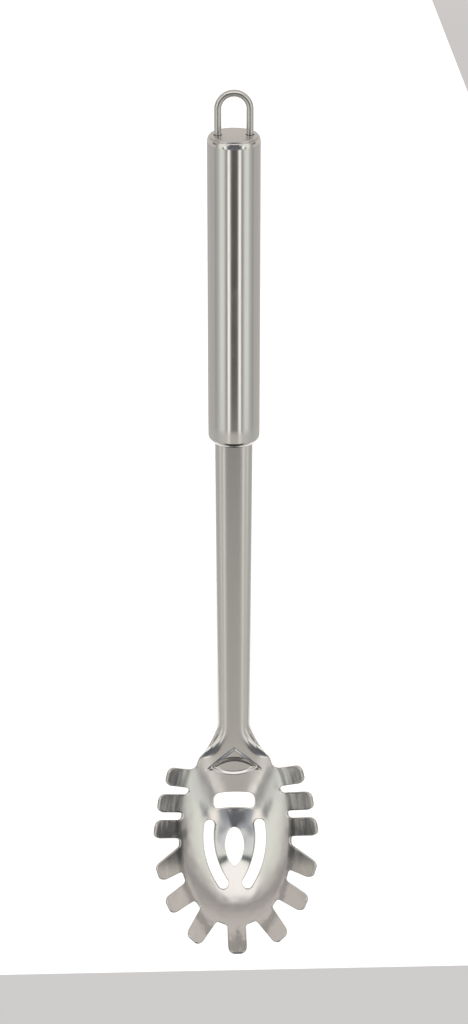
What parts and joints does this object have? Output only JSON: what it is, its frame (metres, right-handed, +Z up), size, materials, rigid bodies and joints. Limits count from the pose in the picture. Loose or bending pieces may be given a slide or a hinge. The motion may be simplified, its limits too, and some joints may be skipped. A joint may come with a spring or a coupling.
{
  "type": "pasta server",
  "caption": "Stainless steel pasta server with a deep slotted bowl, bent tines round its rim, a channel shank and a round hollow handle with a hanging loop.",
  "frame": {"origin": "inside top of the hanging loop, where a hook or rail carries the part", "axes": "+Z up along the handle towards the loop, -Y out of the open bowl, +X across the head"},
  "size_m": [0.063, 0.0518, 0.3275],
  "materials": {
    "pressed_steel": "polished",
    "tube_steel": "satin",
    "cap_steel": "satin",
    "wire_steel": "polished"
  },
  "bodies": {
    "root": {"head_and_shank": "pressed_steel", "handle_tube": "tube_steel", "end_cap": "cap_steel", "hanging_loop": "wire_steel"}
  },
  "joints": []
}
